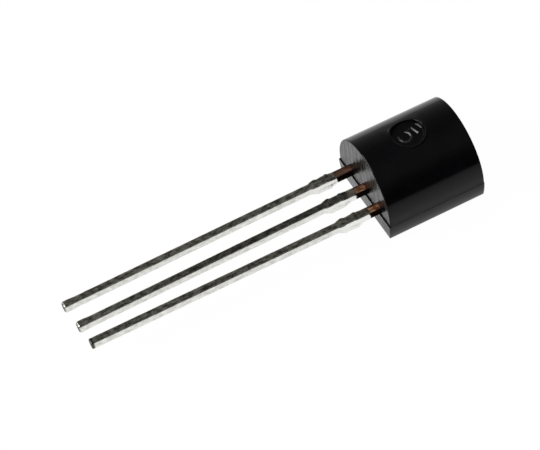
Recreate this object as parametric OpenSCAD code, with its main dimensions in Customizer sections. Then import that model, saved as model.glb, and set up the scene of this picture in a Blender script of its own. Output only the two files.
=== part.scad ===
// Small-signal transistor in a three-lead D-shaped moulded package, in millimetres.
// It lies on its flat: X runs across the leads, Y along the body with the leads
// towards -Y, and Z up from the flat to the crown of the round back.
// The origin is on the flat, below the middle of the round half.

/* [Moulded body] */
// Width across the straight sides, just above the parting line
body_w = 4.62; // [4.3:0.01:4.8]
// Length from the lead end to the top end, at the parting line
body_l = 4.63; // [4.3:0.01:5]
// Thickness from the flat to the crown of the round back
body_t = 3.43; // [3.2:0.01:3.8]
// Width of the flat
flat_w = 4.4; // [4.1:0.01:4.5]
// Height of the parting line above the flat
parting_z = 0.86; // [0.6:0.01:0.88]
// How far the flat half stands out from the straight sides at the parting line
mould_step = 0.02; // [0.01:0.01:0.05]
// How far the flat half stands out from the round half at the lead end
lead_end_step = 0.05; // [0.02:0.01:0.1]
// Draft of the two end faces, in degrees, away from the parting line
end_draft = 1; // [0.5:0.5:4]

/* [Knock-out mark in the back] */
// Diameter of the round recess that the ejector pin leaves
mark_d = 1.46; // [1.2:0.02:1.8]
// Depth of its floor below the crown
mark_depth = 0.25; // [0.2:0.01:0.4]
// Distance of its centre from the lead end
mark_from_lead_end = 2.33; // [1.8:0.01:2.6]

/* [Leads outside the body] */
// Spacing of neighbouring leads
lead_pitch = 1.27; // [1.2:0.01:1.35]
// Width of a lead
lead_w = 0.34; // [0.3:0.01:0.4]
// Thickness of the strip that the leads are stamped from
lead_t = 0.38; // [0.3:0.01:0.42]
// Height of the middle of that strip above the flat
lead_z = 1.1; // [1.05:0.01:1.25]
// Length of the centre lead from the body to its tip
lead_l = 13.78; // [6:0.01:15]
// How much further from the body each tip lies than the one before it, from lead 1 to lead 3
cut_skew = 0.12; // [0:0.01:0.2]
// How far the tip of lead 1 stands over towards the centre lead
lean_1 = 0.04; // [0:0.01:0.2]
// How far the tip of the centre lead stands over towards lead 1
centre_lean = 0.16; // [0:0.01:0.3]
// How far the tip of lead 3 stands over towards the centre lead
lean_3 = 0.13; // [0:0.01:0.2]
// Radius along the long edges, as the tinning leaves them
edge_r = 0.06; // [0.03:0.01:0.1]
// Chamfer round a cut tip
tip_chamfer = 0.05; // [0.02:0.01:0.1]

/* [Wide roots and sheared tie bars] */
// Width of a lead next to the body
root_w = 0.42; // [0.4:0.01:0.55]
// Length of that wide root outside the body
root_l = 1.92; // [1.8:0.01:2.4]
// Distance from the body to the sheared tie bar
tie_from_body = 1.15; // [0.8:0.05:1.15]
// Width of the tie bar, measured along the leads
tie_w = 0.55; // [0.4:0.05:0.6]
// How far the foot of the sheared tie bar stands out of each side of the root
tie_stub = 0.07; // [0.02:0.01:0.12]

/* [Lead frame inside the body] */
// How far inside the lead end the roots run before they widen
root_in = 0.4; // [0.3:0.05:0.5]
// Width of the bonding post of an outer lead
post_w = 0.95; // [0.8:0.05:1.05]
// Length of the bonding post
post_l = 1.1; // [0.9:0.05:1.2]
// Diameter of the resin lock hole through the post
lock_d = 0.36; // [0.3:0.02:0.46]
// Distance of the lock hole from the foot of the post
lock_from_foot = 0.36; // [0.3:0.02:0.4]
// Gap along the leads between the posts and the pad
post_pad_gap = 0.35; // [0.3:0.05:0.45]
// Width of the pad that carries the chip
pad_w = 2.2; // [1.8:0.05:2.4]
// Length of the pad
pad_l = 1.8; // [1.4:0.05:1.9]
// Chamfer of the pad's corners
pad_chamfer = 0.25; // [0.1:0.05:0.4]
// Radius of the resin lock notches in the sides of the pad
notch_r = 0.2; // [0.1:0.02:0.3]
// Distance of the notches from the top end of the pad
notch_from_end = 0.65; // [0.6:0.05:0.8]

/* [Chip and bond wires] */
// Side of the square chip
chip_w = 0.52; // [0.4:0.02:0.7]
// Thickness of the chip
chip_t = 0.2; // [0.12:0.02:0.26]
// Distance of the chip's centre from the foot of the pad
chip_from_foot = 0.7; // [0.5:0.05:0.9]
// Distance of each bonding spot on the chip from its centre line
bond_x = 0.13; // [0.1:0.01:0.14]
// Distance of each bonding spot on a post from the post's free end
bond_from_end = 0.3; // [0.2:0.05:0.35]
// Diameter of the bond wire
wire_d = 0.05; // [0.04:0.01:0.06]
// Rise of the wire's arc above its chord
wire_rise = 0.55; // [0.3:0.05:0.8]
// Diameter of the ball and of the flattened foot at the ends of the wire
ball_d = 0.16; // [0.14:0.01:0.18]
// Height of the ball and of the foot
ball_h = 0.07; // [0.06:0.01:0.09]

/* [Hidden] */
$fn = 96;
over = 1;                                  // how far a cutting shape reaches past what it cuts
lead_end_y = -body_l / 2;                  // the end face that the leads leave
body_r = body_w / 2;
back_z = body_t - body_r;                  // axis of the round back
lead_top = lead_z + lead_t / 2;
post_foot_y = lead_end_y + root_in;
post_end_y = post_foot_y + post_l;
pad_foot_y = post_end_y + post_pad_gap;
pad_end_y = pad_foot_y + pad_l;
chip_y = pad_foot_y + chip_from_foot;
chip_top = lead_top + chip_t;
side_x = body_r + mould_step;              // side of the flat half at the parting line
draw_in = side_x - flat_w / 2;             // how far that side draws in down to the flat
side_r = (parting_z * parting_z + draw_in * draw_in) / (2 * draw_in);
slim_l = lead_l - root_l;                  // stretch of the centre lead that can lean
overlap = 0.1;                             // how far the two stretches of one lead run into each other

// ---- Ways to place a flat outline ----

// An outline drawn in X and Z, made a prism of length l along Y about y = 0
module along_y(l) {
    rotate([90, 0, 0]) linear_extrude(height = l, center = true) children();
}

// An outline drawn in Y and Z, made a prism of length l along X about x = 0
module along_x(l) {
    rotate([90, 0, 90]) linear_extrude(height = l, center = true) children();
}

// An outline drawn in X and Y, made a plate as thick as the lead strip
module stamped() {
    translate([0, 0, lead_z]) linear_extrude(height = lead_t, center = true) children();
}

// ---- Moulded body ----

// Round half: a half circle on straight sides that run down to the parting line
module round_half_section() {
    difference() {
        union() {
            translate([0, back_z]) circle(r = body_r);
            translate([-body_r, 0]) square([body_w, back_z]);
        }
        translate([-body_w, -body_w]) square([2 * body_w, body_w + parting_z]);
    }
}

// Flat half: its sides start upright at the parting line and draw in to the flat as arcs
module flat_half_section() {
    intersection() {
        translate([-side_x, 0]) square([2 * side_x, parting_z]);
        translate([side_x - side_r, parting_z]) circle(r = side_r);
        translate([side_r - side_x, parting_z]) circle(r = side_r);
    }
}

// Side view of one half from end y0 to end y1: they lean in by the draft from z0 to z1
module drafted_side(y0, y1, z0, z1) {
    lean = abs(z1 - z0) * tan(end_draft);
    polygon([[y0, z0], [y1, z0], [y1 - lean, z1], [y0 + lean, z1]]);
}

module round_half() {
    intersection() {
        along_y(body_l + over) round_half_section();
        along_x(body_w + over)
            drafted_side(lead_end_y, -lead_end_y, parting_z, body_t + over);
    }
}

module flat_half() {
    intersection() {
        along_y(body_l + over) flat_half_section();
        along_x(body_w + over)
            drafted_side(lead_end_y - lead_end_step, -lead_end_y, parting_z, 0);
    }
}

module knock_out_mark() {
    translate([0, lead_end_y + mark_from_lead_end, body_t - mark_depth])
        cylinder(d = mark_d, h = mark_depth + over);
}

// The resin fills every hollow round the pieces that it seals
module moulded_body() {
    color([0.05, 0.05, 0.055]) difference() {
        union() {
            round_half();
            flat_half();
        }
        knock_out_mark();
        centre_lead();
        outer_lead(1);
        outer_lead(-1);
        chip();
        bond_wire(1);
        bond_wire(-1);
    }
}

// ---- Leads ----

// Cross-section of a bar with rounded edges, centred on the strip
module bar_section(w) {
    straight_w = w - 2 * edge_r;
    straight_t = lead_t - 2 * edge_r;
    square([w, straight_t], center = true);
    square([straight_w, lead_t], center = true);
    for (x = [-1, 1], z = [-1, 1])
        translate([x * straight_w / 2, z * straight_t / 2]) circle(r = edge_r);
}

// A bar that starts at the origin and runs towards -Y
module bar(w, l) {
    rotate([90, 0, 0]) linear_extrude(height = l) bar_section(w);
}

// A bar whose far end is chamfered on all four sides
module cut_bar(w, l) {
    reach = w + lead_t;
    difference() {
        bar(w, l);
        for (turn = [0, 90, 180, 270])
            rotate([0, turn, 0])
                translate([0, -l, (turn % 180 == 0 ? lead_t : w) / 2 - tip_chamfer])
                rotate([45, 0, 0])
                translate([-reach / 2, -reach, 0]) cube([reach, 2 * reach, reach]);
    }
}

// Cross-section of the root at the sheared tie bar: the shear rolled its top edges in
// and drew its foot out
module tie_section() {
    side = root_w / 2;
    foot = side + tie_stub;
    top = lead_w / 2;
    polygon([[-foot, -lead_t / 2], [foot, -lead_t / 2], [side, 0],
             [top, lead_t / 2], [-top, lead_t / 2], [-side, 0]]);
}

// All of a lead that has the bar's form: the root, which starts inside the body and is
// wide up to the sheared tie bar and past it, and the slim lead, which leans by an angle
module lead_bar(tip_l, lean) {
    tie_end = tie_from_body + tie_w;
    translate([0, lead_end_y, lead_z]) {
        translate([0, root_in, 0]) bar(root_w, root_in + tie_from_body);
        translate([0, overlap / 2 - tie_from_body, 0]) bar(lead_w, tie_w + overlap);
        translate([0, -tie_from_body, 0]) rotate([90, 0, 0]) linear_extrude(height = tie_w) tie_section();
        translate([0, -tie_end, 0]) bar(root_w, root_l - tie_end);
        translate([0, -root_l, 0]) rotate([0, 0, lean]) translate([0, overlap, 0])
            cut_bar(lead_w, tip_l - root_l + overlap);
    }
}

// Pad outline with chamfered corners and a notch in each side
module pad_outline() {
    half = pad_w / 2;
    inner = half - pad_chamfer;
    difference() {
        polygon([[-inner, pad_foot_y], [inner, pad_foot_y],
                 [half, pad_foot_y + pad_chamfer], [half, pad_end_y - pad_chamfer],
                 [inner, pad_end_y], [-inner, pad_end_y],
                 [-half, pad_end_y - pad_chamfer], [-half, pad_foot_y + pad_chamfer]]);
        for (x = [-half, half])
            translate([x, pad_end_y - notch_from_end]) circle(r = notch_r);
    }
}

// Collector lead: it carries the chip on its pad
module centre_lead() {
    color([0.72, 0.72, 0.7]) union() {
        lead_bar(lead_l, atan(centre_lean / slim_l));
        stamped() {
            pad_outline();
            translate([-root_w / 2, post_foot_y - overlap])
                square([root_w, pad_foot_y - post_foot_y + 2 * overlap]);
        }
    }
}

// Post outline about the lead's own axis, with the lock hole
module post_outline() {
    difference() {
        translate([-post_w / 2, post_foot_y]) square([post_w, post_l]);
        translate([0, post_foot_y + lock_from_foot]) circle(d = lock_d);
    }
}

// One of the two outer leads: side is 1 for lead 1, at +X, and -1 for lead 3
module outer_lead(side) {
    color([0.72, 0.72, 0.7]) translate([side * lead_pitch, 0, 0]) union() {
        lead_bar(lead_l - side * cut_skew, -side * atan((side > 0 ? lean_1 : lean_3) / slim_l));
        stamped() post_outline();
    }
}

module outer_lead_1() { outer_lead(1); }
module outer_lead_3() { outer_lead(-1); }

// ---- Chip and wires ----

module chip() {
    color([0.45, 0.45, 0.5])
        translate([-chip_w / 2, chip_y - chip_w / 2, lead_top]) cube([chip_w, chip_w, chip_t]);
}

// An arc of wire over the chord from the origin to [c, 0, 0], which rises towards +Z
module wire_arc(c) {
    r = (c * c / 4 + wire_rise * wire_rise) / (2 * wire_rise);
    half_angle = asin(c / 2 / r);
    translate([c / 2, 0, wire_rise - r]) rotate([90, 0, 0]) rotate([0, 0, 90 - half_angle])
        rotate_extrude(angle = 2 * half_angle) translate([r, 0]) circle(d = wire_d);
}

// Bond wire from the chip to the post of lead 1 (side 1) or lead 3 (side -1)
module bond_wire(side) {
    from = [side * bond_x, chip_y, chip_top];
    to = [side * lead_pitch, post_end_y - bond_from_end, lead_top];
    run = to - from;
    level = norm([run.x, run.y]);
    color([0.85, 0.65, 0.3]) union() {
        for (foot = [from, to]) translate(foot) cylinder(d = ball_d, h = ball_h);
        translate(from + [0, 0, ball_h / 2])
            rotate([0, -atan2(run.z, level), atan2(run.y, run.x)]) wire_arc(norm(run));
    }
}

module bond_wire_1() { bond_wire(1); }
module bond_wire_3() { bond_wire(-1); }

moulded_body();
centre_lead();
outer_lead_1();
outer_lead_3();
chip();
bond_wire_1();
bond_wire_3();
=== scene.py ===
"""Looks of a three-lead D-shaped moulded transistor, lying on its flat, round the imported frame."""
import math

import bmesh
import bpy
from mathutils import Matrix, Vector, noise


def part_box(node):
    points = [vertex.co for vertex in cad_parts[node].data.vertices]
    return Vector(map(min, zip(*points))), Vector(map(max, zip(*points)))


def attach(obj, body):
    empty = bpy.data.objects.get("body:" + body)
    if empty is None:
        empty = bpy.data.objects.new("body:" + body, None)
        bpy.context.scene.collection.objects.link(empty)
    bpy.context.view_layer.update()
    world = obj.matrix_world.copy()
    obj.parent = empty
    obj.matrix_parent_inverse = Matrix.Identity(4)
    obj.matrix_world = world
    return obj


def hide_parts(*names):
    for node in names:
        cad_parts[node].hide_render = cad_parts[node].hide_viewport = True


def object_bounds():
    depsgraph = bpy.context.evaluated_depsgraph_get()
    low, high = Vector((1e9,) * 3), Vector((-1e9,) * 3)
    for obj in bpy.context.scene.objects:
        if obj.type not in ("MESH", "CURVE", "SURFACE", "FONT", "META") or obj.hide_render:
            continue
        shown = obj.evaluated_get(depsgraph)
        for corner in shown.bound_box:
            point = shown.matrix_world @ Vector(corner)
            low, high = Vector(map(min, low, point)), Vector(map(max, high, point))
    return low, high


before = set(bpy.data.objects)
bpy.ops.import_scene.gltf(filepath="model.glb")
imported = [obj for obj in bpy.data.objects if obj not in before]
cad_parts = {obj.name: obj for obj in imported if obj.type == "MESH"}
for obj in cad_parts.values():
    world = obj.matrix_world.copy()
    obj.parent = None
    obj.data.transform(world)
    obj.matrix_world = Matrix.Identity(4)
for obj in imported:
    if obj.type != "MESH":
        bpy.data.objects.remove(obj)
cad_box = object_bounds()

# ---- Sizes, in millimetres: read from the frame, or repeated from the part where a box can't give them ----

MM = 0.001


def node_box(name):
    """Lowest and highest corner of a CAD node, in millimetres."""
    low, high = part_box(name)
    return low / MM, high / MM


BODY_LOW, BODY_HIGH = node_box("moulded_body")
MOULD_STEP = 0.02                              # the flat half stands out this far from the straight sides
LEAD_END_STEP = 0.05                           # and this far from the round half at the lead end
BODY_R = (BODY_HIGH.x - BODY_LOW.x) / 2 - MOULD_STEP
BODY_HALF_L = BODY_HIGH.y
BACK_Z = BODY_HIGH.z - BODY_R                  # axis of the round back
LEAD_END_Y = BODY_LOW.y + LEAD_END_STEP        # the end face that the leads leave
PARTING_Z = 0.86
FLAT_HALF_W = 2.2
DRAFT = math.tan(math.radians(1))
MARK_Y = LEAD_END_Y + 2.33
MARK_FLOOR_Z = BODY_HIGH.z - 0.25
LEAD_PITCH = 1.27
LEAD_W = 0.34
LEAD_LOW_Z, LEAD_HIGH_Z = (corner.z for corner in node_box("outer_lead_1"))
LEAD_Z = (LEAD_LOW_Z + LEAD_HIGH_Z) / 2
LEAD_T = LEAD_HIGH_Z - LEAD_LOW_Z
ROOT_W = 0.42
ROOT_L = 1.92
TIE_FROM_BODY = 1.15
TIE_END = TIE_FROM_BODY + 0.55
TIE_STUB = 0.07


def lead_length(name):
    """How far a lead reaches from the body."""
    return LEAD_END_Y - node_box(name)[0].y


# ---- Camera ----

CAMERA_AIM = Vector((0, -2.3, 0))              # the middle of the flat at the lead end
CAMERA_AZIMUTH = math.radians(71.89)
CAMERA_ELEVATION = math.radians(50.5)
CAMERA_ROLL = math.radians(-11.1)
CAMERA_DISTANCE = 88.53                        # from the aim, along the line of sight
CAMERA_ASIDE = (-4.235, -0.882)                # how far the line of sight passes right of and above the aim
CAMERA_SENSOR = 36
CAMERA_LENS = 134.9
CAMERA_REACH = (0.001, 2)                      # the nearest and the farthest that it sees, in metres


def make_camera():
    sin_e, cos_e = math.sin(CAMERA_ELEVATION), math.cos(CAMERA_ELEVATION)
    back = Vector((math.sin(CAMERA_AZIMUTH) * cos_e, -math.cos(CAMERA_AZIMUTH) * cos_e, sin_e))
    level = Vector((math.cos(CAMERA_AZIMUTH), math.sin(CAMERA_AZIMUTH), 0))
    roll = Matrix.Rotation(CAMERA_ROLL, 3, back)
    right = roll @ level
    up = back.cross(right)
    aside, above = CAMERA_ASIDE
    place = CAMERA_AIM + aside * right + above * up + CAMERA_DISTANCE * back
    camera = bpy.data.objects.new("camera", bpy.data.cameras.new("camera"))
    camera.matrix_world = Matrix.LocRotScale(
        place * MM, Matrix((right, up, back)).transposed().to_quaternion(), None)
    camera.data.lens = CAMERA_LENS
    camera.data.sensor_width = CAMERA_SENSOR
    camera.data.clip_start, camera.data.clip_end = CAMERA_REACH
    bpy.context.scene.collection.objects.link(camera)
    bpy.context.scene.camera = camera


make_camera()

# ---- Node and colour helpers ----

WHITE = (1, 1, 1, 1)


def colour(code):
    """An sRGB hex code as a linear colour."""
    channels = (int(code[i:i + 2], 16) / 255 for i in (1, 3, 5))
    linear = [c / 12.92 if c <= 0.04045 else ((c + 0.055) / 1.055) ** 2.4 for c in channels]
    return (*linear, 1)


def add(tree, kind, inputs=None, stops=(), **settings):
    """Adds a node. Each input is a value, the socket that feeds it, or a node whose first output does."""
    made = tree.nodes.new(kind)
    for name, value in settings.items():
        setattr(made, name, value)
    for name, value in (inputs or {}).items():
        if isinstance(value, bpy.types.Node):
            value = value.outputs[0]
        if isinstance(value, bpy.types.NodeSocket):
            tree.links.new(value, made.inputs[name])
        else:
            made.inputs[name].default_value = value
    if stops:                                  # of a colour ramp: where each lies, and its colour
        for stop, (position, code) in zip(made.color_ramp.elements, stops):
            stop.position = position
            stop.color = colour(code)
    return made


def lay_over(tree, base, layers):
    """Lays colours over a base, one after another, each as far as its share says."""
    for share, top in layers:
        # sockets 6, 7 and 2 are the ones that carry colours
        base = add(tree, "ShaderNodeMix", {"Factor": share, 6: base, 7: top}, data_type="RGBA").outputs[2]
    return base


def per_mm(*sizes):
    """The scale that gives a pattern these sizes in millimetres."""
    return tuple(1 / size for size in sizes)


def new_material(name):
    """A material with an empty tree, and its Object coordinates in millimetres."""
    material = bpy.data.materials.new(name)
    material.use_nodes = True
    tree = material.node_tree
    tree.nodes.clear()
    place = add(tree, "ShaderNodeTexCoord").outputs["Object"]
    in_mm = add(tree, "ShaderNodeVectorMath", {0: place, 1: (1 / MM,) * 3}, operation="MULTIPLY")
    return material, tree, in_mm


def on_lead(tree, place):
    """Where a spot of a lead lies, which way it faces, and how far from the body it is."""
    places = add(tree, "ShaderNodeSeparateXYZ", {"Vector": place}).outputs
    facing = add(tree, "ShaderNodeNewGeometry").outputs["Normal"]
    ways = add(tree, "ShaderNodeSeparateXYZ", {"Vector": facing}).outputs
    from_body = add(tree, "ShaderNodeMath", {0: LEAD_END_Y, 1: places["Y"]}, operation="SUBTRACT")
    return places, ways, from_body


def finish_material(material, tree, shader):
    add(tree, "ShaderNodeOutputMaterial", {"Surface": shader})
    return material


# ---- Materials ----


def polished_epoxy():
    """Silica-filled epoxy moulded against a polished cavity: near black, with a glossy crisp edge."""
    material, tree, place = new_material("epoxy_polished")
    # clouds of flow 0.6 mm across, and grains of filler at their coarsest, as finer ones wouldn't show
    flow = add(tree, "ShaderNodeTexNoise", {"Vector": place, "Scale": 1 / 0.625, "Detail": 3.0})
    filler = add(tree, "ShaderNodeTexNoise", {"Vector": place, "Scale": 1 / 0.04545, "Detail": 2.0})
    bump = add(tree, "ShaderNodeBump", {"Height": filler, "Strength": 0.05, "Distance": 0.01 * MM})
    face = add(tree, "ShaderNodeValToRGB", {"Fac": flow}, ((0.3, "#030304"), (0.7, "#060608")))
    shader = add(tree, "ShaderNodeBsdfPrincipled", {
        "Base Color": face,
        "Roughness": add(tree, "ShaderNodeMapRange", {"Value": flow, "To Min": 0.05, "To Max": 0.1}),
        "IOR": 1.27,
        "Normal": bump,
    })
    return finish_material(material, tree, shader)


def drawn_epoxy():
    """The same epoxy where it slid out of the mould: satin, with fine draw marks that run up and down."""
    material, tree, place = new_material("epoxy_drawn")
    # marks 0.2 mm wide and 1.1 mm high
    upright = add(tree, "ShaderNodeMapping", {"Vector": place, "Scale": per_mm(0.1818, 0.1818, 1.111)})
    marks = add(tree, "ShaderNodeTexNoise", {"Vector": upright, "Scale": 1.0, "Detail": 4.0})
    bump = add(tree, "ShaderNodeBump", {"Height": marks, "Strength": 0.8, "Distance": 0.05 * MM})
    face = add(tree, "ShaderNodeValToRGB", {"Fac": marks}, ((0.35, "#040405"), (0.65, "#0e0e0f")))
    shader = add(tree, "ShaderNodeBsdfPrincipled", {
        "Base Color": face,
        "Roughness": add(tree, "ShaderNodeMapRange", {"Value": marks, "To Min": 0.15, "To Max": 0.3}),
        "IOR": 1.33,
        "Normal": bump,
    })
    return finish_material(material, tree, shader)


def bare_copper():
    """Rolled copper strip above the tin bath: an orange-brown top, and a black underside and edges."""
    material, tree, place = new_material("copper_bare")
    places, ways, from_body = on_lead(tree, place)
    # rolling marks, 0.08 mm wide and 0.4 mm long
    along = add(tree, "ShaderNodeMapping", {"Vector": place, "Scale": per_mm(0.08333, 0.4, 0.08333)})
    streak = add(tree, "ShaderNodeTexNoise", {"Vector": along, "Scale": 1.0, "Detail": 3.0})
    face = add(tree, "ShaderNodeValToRGB", {"Fac": streak}, ((0.4, "#6a3824"), (0.6, "#dba886")))
    # towards the tin its orange dulls to a greyish brown, and the left lead's is the darkest
    tarnish = add(tree, "ShaderNodeMapRange", {
        "Value": from_body, "From Min": 0.15, "From Max": 0.55, "To Max": 0.75})
    left_lead = add(tree, "ShaderNodeMapRange", {
        "Value": places["X"], "From Min": -0.4, "From Max": -0.9, "To Max": 0.72})
    # painted shade: each lead's own left rim is darker, so that the rest of its top reads as a lit streak
    # along the lead
    off_middle = add(tree, "ShaderNodeMath", {
        0: places["X"], 1: LEAD_PITCH / 2, 2: -LEAD_PITCH / 2}, operation="WRAP")
    rim_shade = add(tree, "ShaderNodeMapRange", {"Value": off_middle, "From Min": -0.02, "From Max": -0.16})
    # black oxide is left on the sheared sides and underneath, and has no shine
    sideways = add(tree, "ShaderNodeMath", {0: ways["X"]}, operation="ABSOLUTE")
    sides = add(tree, "ShaderNodeMapRange", {"Value": sideways, "From Min": 0.2, "From Max": 0.75})
    under = add(tree, "ShaderNodeMapRange", {"Value": ways["Z"], "From Min": 0.0, "From Max": -0.3})
    oxide = add(tree, "ShaderNodeMath", {0: sides, 1: under}, operation="MAXIMUM")
    shader = add(tree, "ShaderNodeBsdfPrincipled", {
        "Base Color": lay_over(tree, face, (
            (tarnish, colour("#8f7c62")),
            (left_lead, colour("#3c2827")),
            # the dark red-brown on the left rims is painted shade
            (rim_shade, colour("#32170e")),
            (oxide, colour("#140b07")))),
        "Metallic": add(tree, "ShaderNodeMapRange", {"Value": oxide, "To Min": 0.6, "To Max": 0.0}),
        "Roughness": add(tree, "ShaderNodeMapRange", {"Value": streak, "To Min": 0.3, "To Max": 0.45}),
        "Specular IOR Level": 0.0,
    })
    return finish_material(material, tree, shader)


def dipped_tin():
    """Hot-dipped tin: bright on the sheared sides, and a dull mottled skin on rolled faces and cut tips."""
    material, tree, place = new_material("tin_dipped")
    places, ways, from_body = on_lead(tree, place)
    # mottling, 0.12 mm wide and 0.25 mm long, from the way that the tin ran off along the lead
    along = add(tree, "ShaderNodeMapping", {"Vector": place, "Scale": per_mm(0.125, 0.25, 0.125)})
    mottle = add(tree, "ShaderNodeTexNoise", {
        "Vector": along, "Scale": 1.0, "Detail": 5.0, "Roughness": 0.65})
    bump = add(tree, "ShaderNodeBump", {"Height": mottle, "Strength": 0.5, "Distance": 0.02 * MM})
    dull = add(tree, "ShaderNodeValToRGB", {"Fac": mottle}, ((0.38, "#54534b"), (0.68, "#c2c0b4")))
    copper_tinge = add(tree, "ShaderNodeValToRGB", {"Fac": mottle}, ((0.38, "#84776a"), (0.68, "#e0d4c6")))
    bright = add(tree, "ShaderNodeValToRGB", {"Fac": mottle}, ((0.3, "#bfbfba"), (0.7, "#f8f8f3")))
    # the centre lead's top and underside are darker over their first 7 mm from the body, fading out by 11.5
    # mm
    centre_lead = add(tree, "ShaderNodeMath", {
        0: places["X"], 1: 0.0, 2: LEAD_PITCH / 2}, operation="COMPARE")
    darkest = add(tree, "ShaderNodeMath", {0: centre_lead, 1: 0.5}, operation="MULTIPLY")
    centre_darkening = add(tree, "ShaderNodeMapRange", {
        "Value": from_body, "From Min": 11.5, "From Max": 7.0, "To Max": darkest})
    # where the tin starts it is thin, and copper shines through
    thin = add(tree, "ShaderNodeMapRange", {"Value": from_body, "From Min": 0.95, "From Max": 0.6})
    # painted light: over the root the sheared sides are painted an even near-white, which evens out the
    # darker reflections that the lumps there pick up
    root = add(tree, "ShaderNodeMapRange", {"Value": from_body, "From Min": 2.6, "From Max": 1.6})
    up_or_down = add(tree, "ShaderNodeMath", {0: ways["Z"]}, operation="ABSOLUTE")
    rolled = add(tree, "ShaderNodeMapRange", {"Value": up_or_down, "From Min": 0.5, "From Max": 0.93})
    # cut tips face outwards, and the cutter's burr bared the last of the right lead
    tip_face = add(tree, "ShaderNodeMapRange", {"Value": ways["Y"], "From Min": -0.4, "From Max": -0.8})
    right_lead = add(tree, "ShaderNodeMath", {
        0: places["X"], 1: LEAD_PITCH / 2}, operation="GREATER_THAN")
    burr_start = lead_length("outer_lead_1") - 0.1
    burr = add(tree, "ShaderNodeMapRange", {
        "Value": from_body, "From Min": burr_start - 0.06, "From Max": burr_start, "To Max": right_lead})
    cut = add(tree, "ShaderNodeMath", {0: tip_face, 1: burr}, operation="MAXIMUM")
    skin = lay_over(tree, dull, ((centre_darkening, colour("#1c1b18")), (thin, copper_tinge)))
    shader = add(tree, "ShaderNodeBsdfPrincipled", {
        "Base Color": lay_over(tree, bright, (
            # the near-white over the root is painted light
            (root, colour("#f2f2ee")),
            (rolled, skin),
            (cut, colour("#4a4844")))),
        "Metallic": 1.0,
        "Roughness": add(tree, "ShaderNodeMapRange", {"Value": mottle, "To Min": 0.2, "To Max": 0.34}),
        "Normal": bump,
    })
    return finish_material(material, tree, shader)


def plain(name, code, metallic, roughness):
    """A finish of one colour, with a little grain in its shine."""
    material, tree, place = new_material(name)
    grain = add(tree, "ShaderNodeTexNoise", {"Vector": place, "Scale": 1 / 0.03333})
    shine = add(tree, "ShaderNodeMapRange", {"Value": grain, "To Min": roughness, "To Max": roughness + 0.1})
    shader = add(tree, "ShaderNodeBsdfPrincipled", {
        "Base Color": colour(code), "Metallic": metallic, "Roughness": shine})
    return finish_material(material, tree, shader)


POLISHED, DRAWN = 0, 1                         # material slots of the body
BODY_FINISHES = [polished_epoxy(), drawn_epoxy()]
TIN = dipped_tin()

# ---- Making pieces ----

SAME = 1e-4                                    # nearer than this counts as the same place


def settle(made, node=None):
    """Puts an object in the scene, on its CAD body, and hides the CAD node that it stands in for."""
    bpy.context.scene.collection.objects.link(made)
    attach(made, "root")
    if node:
        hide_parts(node)
    return made


def piece(bm, name, materials, node=None):
    """A finished mesh in millimetres becomes a piece in metres."""
    bmesh.ops.recalc_face_normals(bm, faces=bm.faces)
    for f in bm.faces:
        f.smooth = True
    mesh = bpy.data.meshes.new(name)
    bm.to_mesh(mesh)
    bm.free()
    mesh.transform(Matrix.Scale(MM, 4))
    for material in materials:
        mesh.materials.append(material)
    return settle(bpy.data.objects.new(name, mesh), node)


def bevel(bm, edges, width, segments):
    bmesh.ops.bevel(bm, geom=list(edges), offset=width, segments=segments, profile=0.5,
                    affect="EDGES", material=-1)
    bm.normal_update()


def new_part(made, kind):
    """The vertices, edges or faces among what an operator has made."""
    return [part for part in made["geom"] if isinstance(part, kind)]


def extrude_chain(bm, edges, move, steps=1):
    """Extrudes a chain of edges step by step and returns the last one."""
    for _ in range(steps):
        made = bmesh.ops.extrude_edge_only(bm, edges=edges)
        edges = new_part(made, bmesh.types.BMEdge)
        bmesh.ops.translate(bm, verts=new_part(made, bmesh.types.BMVert), vec=move)
    return edges


def open_edges(bm, axis, value):
    """The open edges that lie where a coordinate has one value."""
    return [e for e in bm.edges if e.is_boundary
            and all(abs(v.co[axis] - value) < SAME for v in e.verts)]


# ---- Moulded body ----

RING_STEPS = 64                                # round the mark: a multiple of 8, for the square round it
PATCH_HALF = 1.0                               # half side of the square that the mark sits in
BACK_STEPS = 28                                # round the back, from the square to the straight side
END_STEPS = 10                                 # along the back, from the square to each end
SIDE_STEPS = 3                                 # down each straight side
SIDE_ARC_STEPS = 8                             # down each side of the flat half
LEAD_END_R = 0.06                              # worn radius of the mould's edge round the lead end
LEAD_END_FACETS = 4
EDGE_R = 0.02                                  # and of its other outer edges
EDGE_FACETS = 3
SHARP = math.radians(35)                       # faces that meet at more than this keep a crisp edge
SQUARELY = 0.9                                 # a face looks along an axis if its normal has this much there
NEAR_EDGE = 0.1                                # an edge this near to an end or to the flat is an outer one
TOP_END_STEP = 0.01                            # thin flash line at the top end
SIDE_FLARE = 0.009                             # how far the straight sides lean out down to the parting line
# Where flash fills the ledge below them as well: its middle and reach along the body
FLASH = ((0.65, 0.3), (-1.05, 0.45), (-2.2, 0.35))
# Section of the mark, from the outside in, as straight lines between corners: each corner's radius from the
# middle of the mark and its height, and then the radius that rounds it and in how many steps
WALL_R = 0.73
LIP_CORNERS = ((1, 0), (0.886, 0), (0.811, 0.066), (WALL_R, -0.036), (WALL_R, -1))   # heights over the back
LIP_ROUNDING = ((0.046, 3), (0.04, 5), (0.157, 4))
FOOT_CORNERS = ((WALL_R, 1), (WALL_R, 0.063), (0.648, 0), (0, 0))                    # and over the floor
FOOT_ROUNDING = ((0.077, 3), (0.07, 3))
FLOOR_RINGS = (0.5, 0.3, 0.15)
# Where the raised lip isn't worn away: its middle and reach in degrees, and its share of the height
LIP = ((10, 130, 1), (240, 32, 0.7))


def swell(off, reach):
    """Goes smoothly from 1 in the middle to 0 at its reach."""
    return math.cos(math.pi / 2 * min(abs(off) / reach, 1)) ** 2


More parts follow.
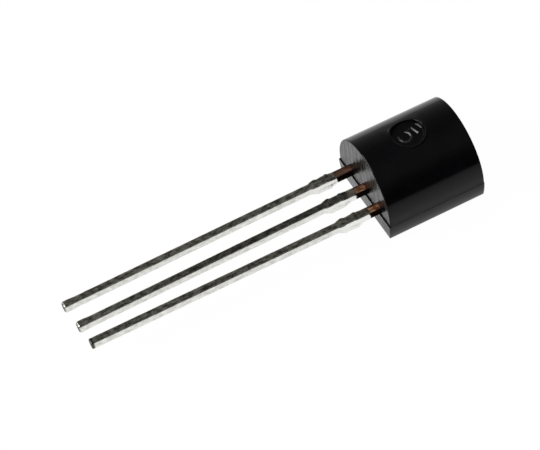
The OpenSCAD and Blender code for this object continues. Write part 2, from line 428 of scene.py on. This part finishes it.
def round_off(corners, rounding):
    """Points of the arcs that round the corners between the first and the last."""
    corners = [Vector(corner) for corner in corners]
    points = []
    for before, corner, after, (radius, steps) in zip(corners, corners[1:], corners[2:], rounding):
        back, on = (before - corner).normalized(), (after - corner).normalized()
        half = back.angle(on) / 2
        middle = corner + (back + on).normalized() * radius / math.sin(half)
        first = corner + back * radius / math.tan(half) - middle
        last = corner + on * radius / math.tan(half) - middle
        points += [middle + radius * first.slerp(last, step / steps) for step in range(steps + 1)]
    return points


def lip_share(x, y):
    """How much of the lip is left in a direction from the middle of the mark."""
    around = math.degrees(math.atan2(y, x))
    return sum(height * swell((around - middle + 180) % 360 - 180, reach) for middle, reach, height in LIP)


def flare(y):
    """How far the straight sides stand out at the parting line."""
    return SIDE_FLARE * (1 + max(swell(y - middle, reach) for middle, reach in FLASH))


def back_height(x):
    return BACK_Z + math.sqrt(BODY_R ** 2 - x ** 2)


def mark_patch(bm):
    """A square of the back with the mark in it, seen from above: Z is the height above the round back."""
    bmesh.ops.create_circle(bm, segments=RING_STEPS, radius=1)
    edges = list(bm.edges)
    for v in bm.verts:                         # the outermost ring is a square
        v.co *= PATCH_HALF / max(abs(v.co.x), abs(v.co.y))
    lip = round_off(LIP_CORNERS, LIP_ROUNDING)
    floor = round_off(FOOT_CORNERS, FOOT_ROUNDING) + [(radius, 0) for radius in FLOOR_RINGS]
    for place, (radius, height) in enumerate(lip + floor):
        made = bmesh.ops.extrude_edge_only(bm, edges=edges)
        edges = new_part(made, bmesh.types.BMEdge)
        for v in new_part(made, bmesh.types.BMVert):
            v.co.z = 0
            v.co *= radius / v.co.length
            if place < len(lip):               # the lip follows the back, and the floor is level
                v.co.z = height * (lip_share(v.co.x, v.co.y) if height > 0 else 1)
            else:
                v.co.z = MARK_FLOOR_Z + height - back_height(v.co.x)
    bmesh.ops.holes_fill(bm, edges=edges, sides=0)
    bmesh.ops.translate(bm, verts=bm.verts, vec=(0, MARK_Y, 0))


def roll_up(bm):
    """Bends the flat sheet round the back: X is the arc length from the crown."""
    for v in bm.verts:
        angle = v.co.x / BODY_R
        v.co = Vector((BODY_R * math.sin(angle), v.co.y, BACK_Z + BODY_R * math.cos(angle) + v.co.z))


def round_half(bm):
    """The round back with the mark, the straight sides, the two end faces and a flat underside."""
    mark_patch(bm)
    for v in bm.verts:
        v.co.x = BODY_R * math.asin(v.co.x / BODY_R)
    square = BODY_R * math.asin(PATCH_HALF / BODY_R)
    quarter = BODY_R * math.pi / 2
    for side in (-1, 1):
        extrude_chain(bm, open_edges(bm, 0, side * square),
                      (side * (quarter - square) / BACK_STEPS, 0, 0), BACK_STEPS)
    for side in (-1, 1):
        start = MARK_Y + side * PATCH_HALF
        step = (side * BODY_HALF_L - start) / END_STEPS
        extrude_chain(bm, open_edges(bm, 1, start), (0, step, 0), END_STEPS)
    roll_up(bm)
    for side in (-1, 1):                       # straight sides, then the underside as a strip between them
        edges = extrude_chain(bm, open_edges(bm, 0, side * BODY_R),
                              (0, 0, (PARTING_Z - BACK_Z) / SIDE_STEPS), SIDE_STEPS)
    extrude_chain(bm, edges, (-2 * BODY_R, 0, 0))
    bmesh.ops.remove_doubles(bm, verts=bm.verts, dist=SAME)
    for v in bm.verts:
        if abs(v.co.x) > BODY_R - SAME:
            share = (BACK_Z - v.co.z) / (BACK_Z - PARTING_Z)
            v.co.x += math.copysign(flare(v.co.y) * share, v.co.x)
    for v in bm.verts:
        if abs(v.co.y) > BODY_HALF_L - SAME:
            v.co.y -= math.copysign((v.co.z - PARTING_Z) * DRAFT, v.co.y)
    bmesh.ops.holes_fill(bm, edges=[e for e in bm.edges if e.is_boundary], sides=0)
    bmesh.ops.recalc_face_normals(bm, faces=bm.faces)


def push_underside(bm, under, half_w, lead_end_y, top_end_y, z):
    """Extrudes the underside to a new outline and height, and returns its new face."""
    ends = [v.co.y for v in under[0].verts]
    low, high = min(ends), max(ends)
    made = bmesh.ops.extrude_face_region(bm, geom=under)
    bmesh.ops.delete(bm, geom=under, context="FACES")
    for v in new_part(made, bmesh.types.BMVert):
        share = (v.co.y - low) / (high - low)
        v.co = (math.copysign(half_w, v.co.x), lead_end_y + share * (top_end_y - lead_end_y), z)
    return new_part(made, bmesh.types.BMFace)


def flat_half(bm):
    """The ledge at the parting line, and the half below it: its sides start upright and draw in as arcs."""
    under = [f for f in bm.faces if -f.normal.z > SQUARELY and f.calc_center_median().z < PARTING_Z + SAME]
    under = bmesh.ops.dissolve_faces(bm, faces=under)["region"]
    side_x = BODY_R + MOULD_STEP
    draw_in = side_x - FLAT_HALF_W
    side_r = (PARTING_Z ** 2 + draw_in ** 2) / (2 * draw_in)
    for step in range(SIDE_ARC_STEPS + 1):
        turn = math.asin(PARTING_Z / side_r) * step / SIDE_ARC_STEPS
        drop = side_r * math.sin(turn)
        lean = drop * DRAFT
        half_w = side_x - side_r * (1 - math.cos(turn))
        under = push_underside(bm, under, half_w, LEAD_END_Y - LEAD_END_STEP + lean,
                               BODY_HALF_L + TOP_END_STEP - lean, PARTING_Z - drop)
    bm.normal_update()


def is_sharp(e):
    return len(e.link_faces) == 2 and e.calc_face_angle(0) > SHARP


def outer_edges(bm, at_lead_end):
    """Sharp outer edges of the body: those round the lead end of the round half, or the others."""
    found = []
    for e in bm.edges:
        reach = max(abs(v.co.y) for v in e.verts)
        heights = [v.co.z for v in e.verts]
        along_parting = max(heights) < PARTING_Z + SAME and min(heights) > PARTING_Z - SAME
        if not is_sharp(e) or not e.is_convex or along_parting:
            continue
        round_half = min(heights) > PARTING_Z - SAME and max(v.co.y for v in e.verts) < 0
        outer = reach > BODY_HALF_L - NEAR_EDGE or min(heights) < NEAR_EDGE
        if outer and round_half == at_lead_end:
            found.append(e)
    return found


def make_body():
    """One closed skin with worn edges: polished, but for the end faces and the ledge."""
    bm = bmesh.new()
    round_half(bm)
    flat_half(bm)
    bevel(bm, outer_edges(bm, True), LEAD_END_R, LEAD_END_FACETS)
    bevel(bm, outer_edges(bm, False), EDGE_R, EDGE_FACETS)
    for e in bm.edges:
        e.smooth = not is_sharp(e)
    for f in bm.faces:
        middle = f.calc_center_median()
        on_ledge = f.normal.z > SQUARELY and middle.z < PARTING_Z + LEAD_END_R
        at_end = abs(f.normal.y) > SQUARELY and abs(middle.y - MARK_Y) > PATCH_HALF
        f.material_index = DRAWN if on_ledge or at_end else POLISHED
    made = piece(bm, "body_moulding", BODY_FINISHES, "moulded_body")
    made.modifiers.new("even shading", "WEIGHTED_NORMAL").keep_sharp = True


make_body()

# ---- Mould number in the mark ----

NUMBER_RIDGE = 0.055                           # half width of the raised stroke
NUMBER_TURN = math.radians(16)
NUMBER_STROKE = (
    (0.24, 0.4), (-0.2, 0.4), (-0.23, 0.06), (-0.05, 0.12), (0.12, 0.09), (0.23, -0.02), (0.26, -0.16),
    (0.22, -0.3), (0.1, -0.4), (-0.08, -0.42), (-0.24, -0.34))


def make_mould_number():
    """A plain 5, raised in the mark: which cavity of the mould the body came from."""
    curve = bpy.data.curves.new("mould_number", "CURVE")
    curve.dimensions = "3D"
    curve.bevel_depth = NUMBER_RIDGE
    curve.bevel_resolution = 0
    curve.use_fill_caps = True
    spline = curve.splines.new("POLY")
    spline.points.add(len(NUMBER_STROKE) - 1)
    for point, (x, y) in zip(spline.points, NUMBER_STROKE):
        place = Matrix.Rotation(NUMBER_TURN, 2) @ Vector((x, y))
        point.co = (place.x, MARK_Y + place.y, MARK_FLOOR_Z, 1)
    sketch = bpy.data.objects.new("sketch", curve)
    mesh = bpy.data.meshes.new_from_object(sketch)
    bpy.data.objects.remove(sketch)
    mesh.transform(Matrix.Scale(MM, 4))
    mesh.shade_flat()
    mesh.materials.clear()
    # rubbed dull by handling, and painted paler than the floor round it: the pale strokes stand in for the
    # light that the raised number catches
    mesh.materials.append(plain("epoxy_rubbed_painted_pale", "#2a2a2c", 0.0, 0.28))
    return settle(bpy.data.objects.new("mould_number", mesh))


make_mould_number()

# ---- Tin on the leads ----

COAT_T = 0.008                                 # thickness of the tin
COAT_SIDES = 48
FINE_STEP = 0.045                              # along the lead, over the lumpy root
COARSE_STEP = 0.12                             # and beyond it
LUMPY_L = 2.15
BOX_POWER = 6                                  # how square the section is: 2 would be an ellipse
START_TUCK = 0.03                              # how far the tin's first ring dips under the bare copper
START_L = 0.02                                 # over this length
START_RAG = 0.07                               # how far the edge of the tin wanders along the lead
START_RAG_L = 0.2                              # and over what length it settles
TIE_SKIN = 0.018                               # extra tin over the tie bar
HEAPS = ((0.97, 0.012), (1.82, 0.022))         # where tin heaped up by the tie bar's edges, and how high
HEAP_REACH = 0.1
LUMP_SIZES = ((2.6, 1), (9, 0.25))             # how many lumps a millimetre has, and their share
LUMP_H = 0.01                                  # half the height of the highest ones
TIE_LUMP_H = 0.03                              # and how much they gain by the tie bar
TIP_TURNS = (0, 6, 14, 60, 72, 90)             # degrees round the tip's edge, with a facet in the middle
CUT_TIP_R, WORN_TIP_R = 0.06, 0.11
WORN_TIP_SKIN = 0.016                          # extra tin round a worn tip
WORN_TIP_END = 0.01                            # and past its end


def ease(value, low, high):
    """Goes smoothly from 0 at low to 1 at high."""
    share = min(max((value - low) / (high - low), 0), 1)
    return share * share * (3 - 2 * share)


def on_tie_bar(from_body, before, after):
    """1 over the sheared tie bar, and fading out before and after it."""
    start = ease(from_body, TIE_FROM_BODY - before, TIE_FROM_BODY - 0.03)
    return start - ease(from_body, TIE_END, TIE_END + after)


def half_width(from_body, height):
    """Half the width of a lead at a distance from the body and a height above the strip's middle."""
    plain_half = (LEAD_W + (ROOT_W - LEAD_W) * (1 - ease(from_body, ROOT_L, ROOT_L + 0.12))) / 2
    share = height / (LEAD_T / 2)              # from -1 at the foot of the lead to 1 at its top
    if share < 0:
        on_tie = on_tie_bar(from_body, 0.5, 0.3)
        return plain_half - TIE_STUB * share * on_tie
    on_tie = ease(from_body, TIE_FROM_BODY, TIE_FROM_BODY + 0.12) - ease(from_body, TIE_END - 0.12, TIE_END)
    return plain_half - (ROOT_W - LEAD_W) / 2 * share * on_tie


def tin_stations(bare_l, end, tip_r):
    """Distances from the body to the tin's rings: close together where it is lumpy and at the tip."""
    stations = [bare_l, bare_l + START_L]
    while stations[-1] < end - tip_r - COARSE_STEP:
        stations.append(stations[-1] + (FINE_STEP if stations[-1] < LUMPY_L else COARSE_STEP))
    return stations + [end - tip_r * (1 - math.sin(math.radians(a))) for a in TIP_TURNS]


def coat_thickness(from_body, bare_l, end, tip_r):
    """How far the tin stands over the lead: less where it starts and at the tip, more by the tie bar."""
    into_tip = max(tip_r - (end - from_body), 0)
    # a hair short of the full rounding, so that the last ring stays open
    drawn_in = tip_r - math.sqrt(max(tip_r ** 2 - into_tip ** 2, 0)) * 0.999
    skin = COAT_T - drawn_in - (START_TUCK if from_body < bare_l + START_L / 2 else 0)
    if tip_r == WORN_TIP_R:
        skin += WORN_TIP_SKIN * ease(from_body, end - 0.7, end - 0.3)
    skin += TIE_SKIN * on_tie_bar(from_body, 0.15, 0.15)
    for middle, high in HEAPS:
        skin += high * math.exp(-((from_body - middle) / HEAP_REACH) ** 2)
    return skin


def lump(where):
    """Height of the lumps in the tin at a place."""
    height = sum(share * noise.noise(where * often) for often, share in LUMP_SIZES)
    return max(height, 0) * (LUMP_H + TIE_LUMP_H * on_tie_bar(-where.y, 0.3, 0.35))


def make_tin(name, lead_x, end, lean, bare_l, tip_r):
    """A closed skin of tin round a lead, from the bare copper to a rounded tip."""
    stations = tin_stations(bare_l, end, tip_r)
    bm = bmesh.new()
    at_start = Matrix.Translation((0, -bare_l, 0)) @ Matrix.Rotation(math.pi / 2, 4, "X")
    bmesh.ops.create_circle(bm, segments=COAT_SIDES, radius=1, matrix=at_start)
    first = last = list(bm.edges)
    for before, after in zip(stations, stations[1:]):
        last = extrude_chain(bm, last, (0, before - after, 0))
    bmesh.ops.holes_fill(bm, edges=first + last, sides=0)
    for v in bm.verts:
        from_body = -v.co.y
        way = Vector((v.co.x, 0, v.co.z))
        # the sheared corners of the tie bar and of the tip are sharper than the rolled ones
        into_tip = max(tip_r - (end - from_body), 0)
        power = BOX_POWER * (1 + on_tie_bar(from_body, 0.15, 0.15)) + 2 * into_tip / tip_r
        way /= (abs(way.x) ** power + abs(way.z) ** power) ** (1 / power)
        half = half_width(from_body, way.z * LEAD_T / 2)
        skin = coat_thickness(from_body, bare_l, end, tip_r)
        place = Vector((way.x * (half + skin), v.co.y, way.z * (LEAD_T / 2 + skin)))
        # lumps lie mostly on the top and underneath
        place += Vector((0.4 * way.x, 0, way.z)) * lump(place + Vector((lead_x, 0, 0)))
        start = max(1 - (from_body - bare_l) / START_RAG_L, 0)
        place.y += start * START_RAG * noise.noise(Vector((way.x, lead_x, way.z)) * 2)
        v.co = place + Vector((lead_x + lean * max(from_body - ROOT_L, 0), LEAD_END_Y, LEAD_Z))
    return piece(bm, name, [TIN])


# CAD node: name of its tin, place across, how far its tip stands over, the bare copper next to the body,
# and the radius of its tip
LEADS = {
    "outer_lead_1": ("tin_1", LEAD_PITCH, -0.04, 0.46, CUT_TIP_R),
    "centre_lead": ("tin_2", 0, 0.16, 0.46, WORN_TIP_R),
    "outer_lead_3": ("tin_3", -LEAD_PITCH, 0.13, 0.74, WORN_TIP_R),
}
for node, (tin, lead_x, tip_over, bare_l, tip_r) in LEADS.items():
    end = lead_length(node) + COAT_T + (WORN_TIP_END if tip_r == WORN_TIP_R else 0)
    lean = tip_over / (lead_length("centre_lead") - ROOT_L)
    make_tin(tin, lead_x, end, lean, bare_l, tip_r)

# ---- Finishes of the CAD nodes: the leads, and the pieces that the resin hides ----

NODE_FINISHES = (
    (bare_copper(), tuple(LEADS)),
    # a die sawn from a polished wafer is grey and shiny, and drawn gold wire is warm and bright
    (plain("silicon_polished", "#70757c", 0.0, 0.12), ("chip",)),
    (plain("gold_drawn", "#d9a441", 1.0, 0.2), ("bond_wire_1", "bond_wire_3")),
)
for finish, nodes in NODE_FINISHES:
    for node in nodes:
        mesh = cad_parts[node].data
        mesh.materials.clear()
        mesh.materials.append(finish)

# ---- Floor, world and lamp ----

FLOOR_HALF = 1.0                               # metres: far enough for the horizon in every view
FLOOR_GAP = 0.02                               # below the part
SHEET_FADES = (5, 30)                          # how far to the right gloss mirrors the white sheet
SHEET_LEVELS = (0.95, 0.02)                    # how bright it mirrors it, near and far
GLOW_TO_CAMERA = 0.975                         # the rest is paper, which takes the part's shadow
GLOW_TO_GLOSS = 0.95
DOME_LEVEL = 0.65                              # the light that falls on matt surfaces from all round
LAMP_PLACE = (-35, -108, 77)
LAMP_SIZE = 85
LAMP_POWER = 0.17                              # watts


def make_floor():
    """A white sheet on a table: pure white to the camera, but for the shadow that the part leaves on it."""
    bm = bmesh.new()
    bmesh.ops.create_grid(bm, x_segments=1, y_segments=1, size=FLOOR_HALF)
    mesh = bpy.data.meshes.new("floor")
    bm.to_mesh(mesh)
    bm.free()
    floor = bpy.data.objects.new("floor", mesh)
    floor.location.z = cad_box[0].z - FLOOR_GAP * MM
    bpy.context.scene.collection.objects.link(floor)

    material, tree, place = new_material("white_table")
    across = add(tree, "ShaderNodeSeparateXYZ", {"Vector": place}).outputs["X"]
    sheet = add(tree, "ShaderNodeMapRange", {
        "Value": across, "From Min": SHEET_FADES[0], "From Max": SHEET_FADES[1],
        "To Min": SHEET_LEVELS[0], "To Max": SHEET_LEVELS[1]})
    rays = add(tree, "ShaderNodeLightPath").outputs
    level = add(tree, "ShaderNodeMath", {0: rays["Is Camera Ray"], 1: sheet}, operation="MAXIMUM")
    paper = add(tree, "ShaderNodeBsdfDiffuse", {"Color": colour("#fcfcfc")})
    glow = add(tree, "ShaderNodeEmission", {"Color": WHITE, "Strength": level})
    to_camera = add(tree, "ShaderNodeMath", {
        0: rays["Is Camera Ray"], 1: GLOW_TO_CAMERA}, operation="MULTIPLY")
    share = add(tree, "ShaderNodeMath", {
        0: rays["Is Glossy Ray"], 1: GLOW_TO_GLOSS, 2: to_camera}, operation="MULTIPLY_ADD")
    seen = add(tree, "ShaderNodeMixShader", {"Fac": share, 1: paper, 2: glow})
    mesh.materials.append(finish_material(material, tree, seen))


def make_world():
    """A white room to the camera, an even dome of light, and dim walls and ceiling in what gloss mirrors."""
    world = bpy.data.worlds.new("room")
    bpy.context.scene.world = world
    world.use_nodes = True
    tree = world.node_tree
    tree.nodes.clear()
    way = add(tree, "ShaderNodeTexCoord").outputs["Generated"]
    parts = add(tree, "ShaderNodeSeparateXYZ", {"Vector": way}).outputs
    ceiling = add(tree, "ShaderNodeMapRange", {
        "Value": parts["Z"], "From Min": 0.3, "From Max": 0.75, "To Min": 0.03, "To Max": 0.15})
    far_side = add(tree, "ShaderNodeMapRange", {"Value": parts["X"], "From Min": -0.2, "From Max": -0.7})
    low_down = add(tree, "ShaderNodeMapRange", {
        "Value": parts["Z"], "From Min": 0.0, "From Max": 0.8, "To Min": 0.52, "To Max": 0.0})
    far_wall = add(tree, "ShaderNodeMath", {0: far_side, 1: low_down}, operation="MULTIPLY")
    walls = add(tree, "ShaderNodeMath", {0: ceiling, 1: far_wall}, operation="ADD")
    overhead = add(tree, "ShaderNodeVectorMath", {0: way, 1: (0.42, 0.28, 0.86)}, operation="DOT_PRODUCT")
    lamp_glow = add(tree, "ShaderNodeMapRange", {
        "Value": overhead.outputs["Value"], "From Min": 0.85, "From Max": 1.0, "To Max": 0.08})
    level = add(tree, "ShaderNodeMath", {0: walls, 1: lamp_glow}, operation="ADD")

    rays = add(tree, "ShaderNodeLightPath").outputs
    dome = add(tree, "ShaderNodeBackground", {"Color": WHITE, "Strength": DOME_LEVEL})
    mirrored = add(tree, "ShaderNodeBackground", {"Color": WHITE, "Strength": level})
    white = add(tree, "ShaderNodeBackground", {"Color": WHITE, "Strength": 1.0})
    lit = add(tree, "ShaderNodeMixShader", {"Fac": rays["Is Glossy Ray"], 1: dome, 2: mirrored})
    seen = add(tree, "ShaderNodeMixShader", {"Fac": rays["Is Camera Ray"], 1: lit, 2: white})
    add(tree, "ShaderNodeOutputWorld", {"Surface": seen})


def make_lamp():
    """A soft square lamp that looks at the roots of the leads."""
    lamp = bpy.data.lights.new("key", "AREA")
    lamp.size = LAMP_SIZE * MM
    lamp.energy = LAMP_POWER
    made = bpy.data.objects.new("key", lamp)
    made.location = Vector(LAMP_PLACE) * MM
    aim = Vector((0, LEAD_END_Y, LEAD_Z)) - Vector(LAMP_PLACE)
    made.rotation_euler = aim.to_track_quat("-Z", "Y").to_euler()
    bpy.context.scene.collection.objects.link(made)


make_floor()
make_world()
make_lamp()

view = bpy.context.scene.view_settings
view.view_transform = "Standard"
